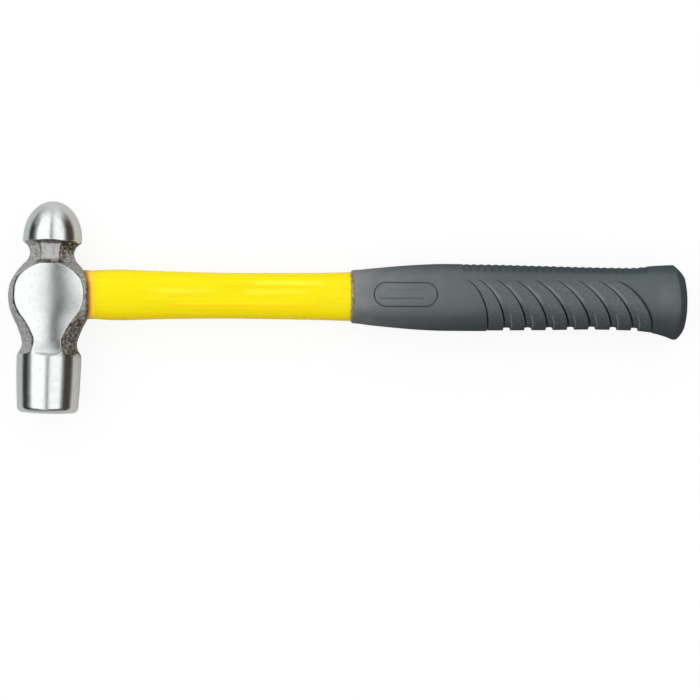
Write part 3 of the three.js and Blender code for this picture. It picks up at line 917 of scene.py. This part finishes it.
class Nodes:
    """Short helpers for building one node material."""

    def __init__(self, name):
        self.material = bpy.data.materials.new(name)
        self.material.use_nodes = True
        self.tree = self.material.node_tree
        self.shader = self.tree.nodes["Principled BSDF"]

    def add(self, kind):
        return self.tree.nodes.new(kind)

    def link(self, source, target):
        self.tree.links.new(source, target)

    def place(self):
        return self.add("ShaderNodeTexCoord").outputs["Object"]

    def stretched(self, scale):
        """Object coordinates in millimetres, times a scale along each axis."""
        node = self.add("ShaderNodeMapping")
        node.inputs["Scale"].default_value = [1000 * s for s in scale]
        self.link(self.place(), node.inputs["Vector"])
        return node.outputs["Vector"]

    def noise(self, scale, detail=3, roughness=0.55, seed=0.0):
        """Noise with features about 1/scale millimetres across, from 0 to 1."""
        node = self.add("ShaderNodeTexNoise")
        node.noise_dimensions = "4D"
        node.inputs["W"].default_value = seed
        node.inputs["Scale"].default_value = 1
        node.inputs["Detail"].default_value = detail
        node.inputs["Roughness"].default_value = roughness
        self.link(self.stretched(scale), node.inputs["Vector"])
        return node.outputs["Fac"]

    def ramp(self, value, stops):
        """A colour for each value, blended between (value, colour) stops."""
        node = self.add("ShaderNodeValToRGB")
        elements = node.color_ramp.elements
        while len(elements) < len(stops):
            elements.new(0.5)
        for element, (at, colour) in zip(elements, stops):
            element.position = at
            element.color = (*colour, 1)
        self.link(value, node.inputs["Fac"])
        return node.outputs["Color"]

    def span(self, value, low, high, to_low=0.0, to_high=1.0):
        node = self.add("ShaderNodeMapRange")
        node.clamp = True
        node.inputs["From Min"].default_value = low
        node.inputs["From Max"].default_value = high
        node.inputs["To Min"].default_value = to_low
        node.inputs["To Max"].default_value = to_high
        self.link(value, node.inputs["Value"])
        return node.outputs["Result"]

    def math(self, operation, a, b):
        node = self.add("ShaderNodeMath")
        node.operation = operation
        for socket, value in zip(node.inputs, (a, b)):
            if isinstance(value, (int, float)):
                socket.default_value = value
            else:
                self.link(value, socket)
        return node.outputs["Value"]

    def mix(self, factor, a, b):
        node = self.add("ShaderNodeMix")
        node.data_type = "RGBA"
        for socket, value in ((node.inputs[0], factor), (node.inputs[6], a), (node.inputs[7], b)):
            if isinstance(value, (int, float)):
                socket.default_value = value
            elif isinstance(value, tuple):
                socket.default_value = (*value, 1)
            else:
                self.link(value, socket)
        return node.outputs[2]

    def attribute(self, name):
        node = self.add("ShaderNodeAttribute")
        node.attribute_name = name
        return node.outputs["Fac"]

    def bump(self, height, distance, strength=1.0, under=None):
        node = self.add("ShaderNodeBump")
        node.inputs["Strength"].default_value = strength
        node.inputs["Distance"].default_value = distance * MM
        self.link(height, node.inputs["Height"])
        if under is not None:
            self.link(under, node.inputs["Normal"])
        return node.outputs["Normal"]

    def glow(self, colour, strength):
        self.shader.inputs["Emission Color"].default_value = (*colour, 1)
        self.shader.inputs["Emission Strength"].default_value = strength

    def wire(self, **sockets):
        """Sets or links the shader's sockets and gives the finished material."""
        names = {
            "colour": "Base Color", "roughness": "Roughness", "metallic": "Metallic",
            "normal": "Normal", "specular": "Specular IOR Level",
        }
        for key, value in sockets.items():
            socket = self.shader.inputs[names[key]]
            if isinstance(value, (int, float)):
                socket.default_value = value
            elif isinstance(value, tuple):
                socket.default_value = (*value, 1)
            else:
                self.link(value, socket)
        return self.material


def steel_material():
    """Ground cheeks, turned poll and ball, and the forged skin everywhere else."""
    n = Nodes("forged and ground steel")
    cheek = n.span(n.attribute("cheek"), -0.06, 0.06)
    turned = n.span(n.attribute("turned"), -0.06, 0.06)
    bright = n.math("MAXIMUM", cheek, turned)
    grain = n.noise((0.7, 0.7, 0.7), 4, 0.7, 1)
    pits = n.noise((1.8, 1.8, 1.8), 3, 0.7, 2)
    lines = n.noise((0.12, 6.0, 0.12), 3, 0.6, 3)
    fine = n.noise((5.0, 5.0, 5.0), 2, 0.6, 4)
    # The tone attribute holds the skin's own scale and rubbed metal, plus painted shade and a
    # painted highlight.
    share = n.math("ADD", n.span(n.attribute("tone"), -1, 1, 0.1, 0.9),
                   n.span(grain, 0.25, 0.75, -0.42, 0.42))
    blotch = n.span(n.noise((0.55, 0.55, 0.55), 4, 0.7, 14), 0.34, 0.66, -0.3, 0.24)
    share = n.math("ADD", share, n.math("MULTIPLY", blotch, n.attribute("stain")))
    skin = n.ramp(share, [
        (0.0, (0.07, 0.045, 0.035)), (0.3, (0.25, 0.235, 0.225)), (0.5, (0.56, 0.56, 0.555)),
        (1.0, (0.95, 0.95, 0.93)),
    ])
    polished = n.ramp(lines, [(0.25, (0.66, 0.685, 0.675)), (0.75, (0.77, 0.80, 0.79))])
    haze = n.noise((0.9, 0.35, 0.9), 4, 0.7, 15)
    polished = n.mix(n.span(haze, 0.52, 0.72, 0.0, 0.45), polished, (0.52, 0.545, 0.53))
    # Painted shade: the polish is darkened in blotches on the lower handle side of the cheek.
    shade_blotch = n.span(pits, 0.35, 0.65, 0.4, 1.25)
    polished = n.mix(n.math("MULTIPLY", n.attribute("cheek_shade"), shade_blotch), polished, (0.47, 0.49, 0.48))
    colour = n.mix(bright, skin, polished)
    rough = n.math("SUBTRACT", 0.33, n.math("MULTIPLY", bright, 0.16))
    rough = n.math("ADD", rough, n.math("MULTIPLY", n.attribute("satin"), 0.14))
    rough = n.math("ADD", rough, n.math("MULTIPLY", bright, n.span(haze, 0.3, 0.7, -0.03, 0.05)))
    rough = n.math("ADD", rough, n.span(fine, 0.3, 0.7, -0.03, 0.03))
    height = n.math("MULTIPLY", n.math("SUBTRACT", 1.0, bright), n.math("ADD", pits, grain))
    forged = n.bump(height, 0.7, 1.0)
    scratched = n.bump(lines, 0.008, 1.0, forged)
    normal = n.bump(n.math("MULTIPLY", lines, turned), 0.022, 1.0, scratched)
    return n.wire(colour=colour, roughness=rough, metallic=1.0, normal=normal)


# Stands in for the light that passes through the resin and the epoxy
AMBER_GLOW = (1.0, 0.62, 0.0)


def epoxy_material():
    """Amber epoxy, dark where it meets the steel and clearer towards the shaft."""
    n = Nodes("amber epoxy")
    cloud = n.span(n.noise((0.5, 0.5, 0.5), 3, 0.6, 5), 0.3, 0.7, -0.06, 0.06)
    share = n.math("ADD", n.attribute("spread"), cloud)
    colour = n.ramp(share, [
        (0.0, (0.16, 0.08, 0.02)), (0.24, (0.42, 0.17, 0.01)), (0.4, (0.85, 0.42, 0.03)),
        (0.62, (0.96, 0.60, 0.06)), (0.85, (0.93, 0.68, 0.02)), (1.0, (0.88, 0.71, 0.0)),
    ])
    n.glow(AMBER_GLOW, 0.1)
    normal = n.bump(n.noise((0.8, 0.8, 0.8), 2, 0.5, 6), 0.05)
    return n.wire(colour=colour, roughness=0.3, specular=0.25, normal=normal)


def jacket_material():
    """Yellow moulded resin with faint lengthwise flow marks, painted highlight streaks along the
    middle, and painted shade at the flute edges and along the underside.
    """
    n = Nodes("yellow moulded resin")
    flow = n.noise((0.03, 0.9, 0.9), 3, 0.55, 7)
    plain = n.ramp(flow, [(0.3, (0.78, 0.66, 0.0)), (0.7, (0.84, 0.73, 0.0))])
    # Painted highlight: the three lighter streaks along the shaft.
    plain = n.mix(n.attribute("highlight_streak"), plain, (0.95, 0.85, 0.05))
    # Painted shade: the flute edge lines and the underside go orange.
    colour = n.mix(n.math("MULTIPLY", n.attribute("line"), 0.8), plain, (0.90, 0.56, 0.0))
    rough = n.span(n.noise((0.4, 0.4, 0.4), 3, 0.6, 8), 0.3, 0.7, 0.24, 0.34)
    n.shader.inputs["Subsurface Weight"].default_value = 0.35
    n.shader.inputs["Subsurface Radius"].default_value = (1.0, 0.6, 0.05)
    n.shader.inputs["Subsurface Scale"].default_value = 0.004
    n.glow(AMBER_GLOW, 0.1)
    normal = n.bump(flow, 0.05)
    return n.wire(colour=colour, roughness=rough, specular=0.15, normal=normal)


def rod_material():
    """Pultruded glass fibre: pale strands along the rod."""
    n = Nodes("pultruded fibreglass")
    strands = n.noise((0.05, 4.0, 4.0), 3, 0.6, 9)
    colour = n.ramp(strands, [(0.3, (0.55, 0.50, 0.34)), (0.7, (0.80, 0.77, 0.62))])
    return n.wire(colour=colour, roughness=0.45, normal=n.bump(strands, 0.08))


def adhesive_material():
    """Olive brown adhesive with lighter smears."""
    n = Nodes("brown adhesive")
    blotch = n.noise((0.7, 0.7, 0.7), 4, 0.6, 10)
    colour = n.ramp(blotch, [(0.35, (0.12, 0.085, 0.02)), (0.6, (0.5, 0.40, 0.20))])
    return n.wire(colour=colour, roughness=0.45, normal=n.bump(blotch, 0.15))


def rubber_material():
    """Dark grey moulded rubber with a fine moulded grain. Painted light: paler towards its mouth,
    darker along its underside, dark lines in its grooves and pale marks on its channels and
    before the butt.
    """
    n = Nodes("grey moulded rubber")
    grain = n.noise((3.0, 3.0, 3.0), 2, 0.6, 11)
    stipple = n.noise((1.4, 1.4, 1.4), 3, 0.7, 13)
    cloud = n.noise((0.12, 0.12, 0.12), 3, 0.5, 12)
    place = n.add("ShaderNodeSeparateXYZ")
    n.link(n.place(), place.inputs["Vector"])
    start, end = ORIGIN[0] + GRIP_MOUTH * MM, ORIGIN[0] + BUTT_END_X * MM
    along = n.span(place.outputs["X"], start, end)
    along = n.math("ADD", along, n.span(cloud, 0.3, 0.7, -0.05, 0.05))
    # Painted light: the rubber is paler towards the mouth and darker towards the butt.
    tone = n.ramp(along, [
        (0.0, (0.18, 0.185, 0.195)), (0.09, (0.11, 0.124, 0.131)),
        (0.27, (0.072, 0.094, 0.098)), (0.5, (0.046, 0.064, 0.067)),
        (0.9, (0.052, 0.072, 0.077)), (1.0, (0.044, 0.060, 0.064)),
    ])
    # Painted shade: darker along the underside.
    low = n.span(place.outputs["Y"], ORIGIN[1] - 11 * MM, ORIGIN[1] - 1 * MM, 0.45, 0.0)
    tone = n.mix(low, tone, (0.022, 0.028, 0.03))
    field = n.attribute("field")
    spots = n.math("MULTIPLY", field, n.span(stipple, 0.35, 0.65, -0.35, 0.45))
    tone = n.mix(n.math("MAXIMUM", spots, 0.0), tone, (0.16, 0.19, 0.19))
    # Paler channel floors, with a painted highlight on the channels' right walls and a painted
    # sheen before the butt.
    tone = n.mix(n.math("MULTIPLY", n.attribute("pale"), 0.6), tone, (0.15, 0.175, 0.175))
    # Painted shade: the grooves' lines go nearly black.
    tone = n.mix(n.attribute("line"), tone, (0.004, 0.006, 0.007))
    rough = n.span(grain, 0.3, 0.7, 0.36, 0.46)
    rough = n.math("ADD", rough, n.math("MULTIPLY", field, 0.05))
    height = n.math("MULTIPLY", field, stipple)
    normal = n.bump(grain, 0.04, 1.0, n.bump(height, 0.15))
    return n.wire(colour=tone, roughness=rough, specular=0.7, normal=normal)


# ---- Lights, floor and camera ----

# Places are in metres, and along X they are measured from the eye of the head. All the
# overhead lights but one reach from LIGHT_FRONT to LIGHT_BACK along Y.
LIGHT_HEIGHT = 0.9
LIGHT_FRONT = -0.8
LIGHT_BACK = 1.9
END_DISTANCE = 1.9
END_HEIGHT = 0.92
END_LIFT = 0.01


def hide_from(made, *rays):
    """Keeps a light or a plane out of what these kinds of ray meet."""
    for ray in rays:
        setattr(made, "visible_" + ray, False)


def area_light(name, width, height, radiance, place, tilt=0):
    """A rectangular light that faces down, or is tilted about X to face along Y."""
    light = bpy.data.lights.new(name, "AREA")
    light.shape = "RECTANGLE"
    light.size = width
    light.size_y = height
    light.energy = radiance * math.pi * light.size * light.size_y
    made = bpy.data.objects.new(name, light)
    made.location = place
    made.rotation_euler.x = math.radians(tilt)
    bpy.context.scene.collection.objects.link(made)
    hide_from(made, "camera")
    return made


def softbox(name, x_from, x_to, radiance, y_from=LIGHT_FRONT, y_to=LIGHT_BACK):
    """A light over the table, facing down."""
    place = (ORIGIN[0] + (x_from + x_to) / 2, (y_from + y_to) / 2, LIGHT_HEIGHT)
    area_light(name, x_to - x_from, y_to - y_from, radiance, place)


def end_box(name, x_from, x_to, radiance, side=1):
    """An upright light at the back (side 1) or at the front (side -1), facing the hammer."""
    place = (ORIGIN[0] + (x_from + x_to) / 2, side * END_DISTANCE, END_HEIGHT / 2 + END_LIFT)
    return area_light(name, x_to - x_from, END_HEIGHT, radiance, place, -90 * side)


def make_lights():
    """Strips of different strength over the head, which its polished steel reflects."""
    softbox("softbox_left", -1.62, -0.14, 1.36)
    softbox("softbox_left_rim", -0.14, -0.058, 1.1)
    softbox("softbox_right_rim", 0.045, 0.085, 0.55)
    softbox("softbox_right_step", 0.085, 0.14, 0.9)
    softbox("softbox_right", 0.14, 1.08, 1.25)
    softbox("softbox_right_edge", 1.08, 1.5, 0.4)
    softbox("softbox_far_left", -3.3, -1.62, 0.2)
    softbox("softbox_front", -0.6, 0.1, 0.5, -1.6, LIGHT_FRONT)
    end_box("softbox_end_left", -1.62, -0.08, 0.9)
    end_box("softbox_end_right", 0.045, 1.2, 0.9)
    end_box("softbox_end_far_left", -3.6, -1.62, 0.35)
    end_box("softbox_end_far_right", 1.2, 3.2, 0.35)
    hide_from(end_box("softbox_end_front", -2.6, 2.6, 0.3, -1), "diffuse")


def make_world():
    """Pale surroundings for the camera, grey ones for the fill and dark ones to reflect."""
    world = bpy.data.worlds.new("studio")
    bpy.context.scene.world = world
    world.use_nodes = True
    tree = world.node_tree
    background = tree.nodes["Background"]
    path = tree.nodes.new("ShaderNodeLightPath")
    mix = tree.nodes.new("ShaderNodeMix")
    mix.data_type = "RGBA"
    mix.inputs[6].default_value = (0.25, 0.25, 0.25, 1)
    mix.inputs[7].default_value = (0.03, 0.032, 0.034, 1)
    tree.links.new(path.outputs["Is Glossy Ray"], mix.inputs[0])
    seen = tree.nodes.new("ShaderNodeMix")
    seen.data_type = "RGBA"
    seen.inputs[7].default_value = (0.95, 0.95, 0.95, 1)
    tree.links.new(path.outputs["Is Camera Ray"], seen.inputs[0])
    tree.links.new(mix.outputs[2], seen.inputs[6])
    tree.links.new(seen.outputs[2], background.inputs["Color"])
    background.inputs["Strength"].default_value = 1.0


def plane(name, x_from, x_to, y_from, y_to, z):
    corners = [(x_from, y_from, z), (x_to, y_from, z), (x_to, y_to, z), (x_from, y_to, z)]
    mesh = bpy.data.meshes.new(name)
    mesh.from_pydata(corners, [], [(0, 1, 2, 3)])
    made = bpy.data.objects.new(name, mesh)
    bpy.context.scene.collection.objects.link(made)
    return made


def matt(name, colour, glow=(1, 1, 1), strength=0.0):
    """A matt material, which can give off an even light of its own."""
    n = Nodes(name)
    n.glow(glow, strength)
    return n.wire(colour=colour, roughness=0.9, specular=0.0)


TABLE_REACH = 4
BLACK = (0.0, 0.0, 0.0)


def make_floor():
    """The white sweep that the camera sees."""
    r = TABLE_REACH
    floor = plane("floor", -r, r, -r, r, cad_box[0].z - 0.0003)
    floor.data.materials.append(matt("white sweep", (0.12, 0.12, 0.12), strength=0.88))
    hide_from(floor, "diffuse", "glossy", "shadow")


def make_table():
    """The grey table that light and reflections meet, darker towards the grip."""
    r = TABLE_REACH
    table = plane("table", -r, r, -r, r, cad_box[0].z - 0.0006)
    n = Nodes("grey table top")
    place = n.add("ShaderNodeSeparateXYZ")
    n.link(n.place(), place.inputs["Vector"])
    share = n.span(place.outputs["X"], ORIGIN[0] - 0.05, ORIGIN[0] + 0.35)
    tone = n.ramp(share, [
        (0, (0.55, 0.575, 0.575)), (0.17, (0.62, 0.59, 0.57)), (0.45, (0.62, 0.59, 0.57)),
        (0.56, (0.15, 0.15, 0.15)),
    ])
    table.data.materials.append(n.wire(colour=tone, roughness=0.9, specular=0.0))
    hide_from(table, "camera")


def make_cards():
    """Cards that only reflections see: a dark one left of the head, a light one beyond
    the ball, and a warm wall beyond the butt."""
    r = TABLE_REACH
    top = cad_box[0].z + 0.0002
    dark = plane("dark_card", -r, ORIGIN[0] - 0.122, -r, r, top)
    dark.data.materials.append(matt("dark card", (0.03, 0.03, 0.03)))
    light = plane("light_card", ORIGIN[0] - 0.02, ORIGIN[0] + 0.02, 0.077, 0.4, top)
    light.data.materials.append(matt("light card", BLACK, strength=0.8))
    warm = plane("warm_wall", 0, 1, -2, 2, 0)
    warm.rotation_euler.y = math.radians(-90)
    warm.location.x = 1.9
    warm.data.materials.append(matt("warm wall", BLACK, (0.075, 0.05, 0.04), 1.0))
    for card in (dark, light, warm):
        hide_from(card, "camera", "diffuse", "shadow")


CAMERA_HEIGHT = 1.7
CAMERA_ASIDE = (0.00109, -0.01947)
CAMERA_TURN = 0.448
FRAME_WIDTH = 0.34118


def make_camera():
    camera = bpy.data.cameras.new("camera")
    camera.sensor_width = 36
    camera.lens = 36 * CAMERA_HEIGHT / FRAME_WIDTH
    made = bpy.data.objects.new("camera", camera)
    made.location = (CAMERA_ASIDE[0], CAMERA_ASIDE[1], ORIGIN[2] + CAMERA_HEIGHT)
    made.rotation_euler = (0, 0, math.radians(CAMERA_TURN))
    bpy.context.scene.collection.objects.link(made)
    bpy.context.scene.camera = made
    camera.clip_start = 0.05
    camera.clip_end = 20


# ---- Assembly ----


def add_piece(made, material, node):
    made.data.materials.clear()
    made.data.materials.append(material)
    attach(made, "root")
    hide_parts(node)


def build():
    epoxy = epoxy_material()
    add_piece(make_head(), steel_material(), "hammer_head")
    add_piece(make_bond(), epoxy, "eye_epoxy_bond")
    add_piece(make_bead(), epoxy, "eye_epoxy_bead")
    add_piece(make_jacket(), jacket_material(), "handle_jacket")
    add_piece(make_adhesive(), adhesive_material(), "grip_adhesive")
    add_piece(make_grip(), rubber_material(), "rubber_grip")
    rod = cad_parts["handle_core_rod"]
    rod.data.materials.clear()
    rod.data.materials.append(rod_material())


build()
make_floor()
make_table()
make_cards()
make_lights()
make_world()
make_camera()
bpy.context.scene.view_settings.view_transform = "Standard"
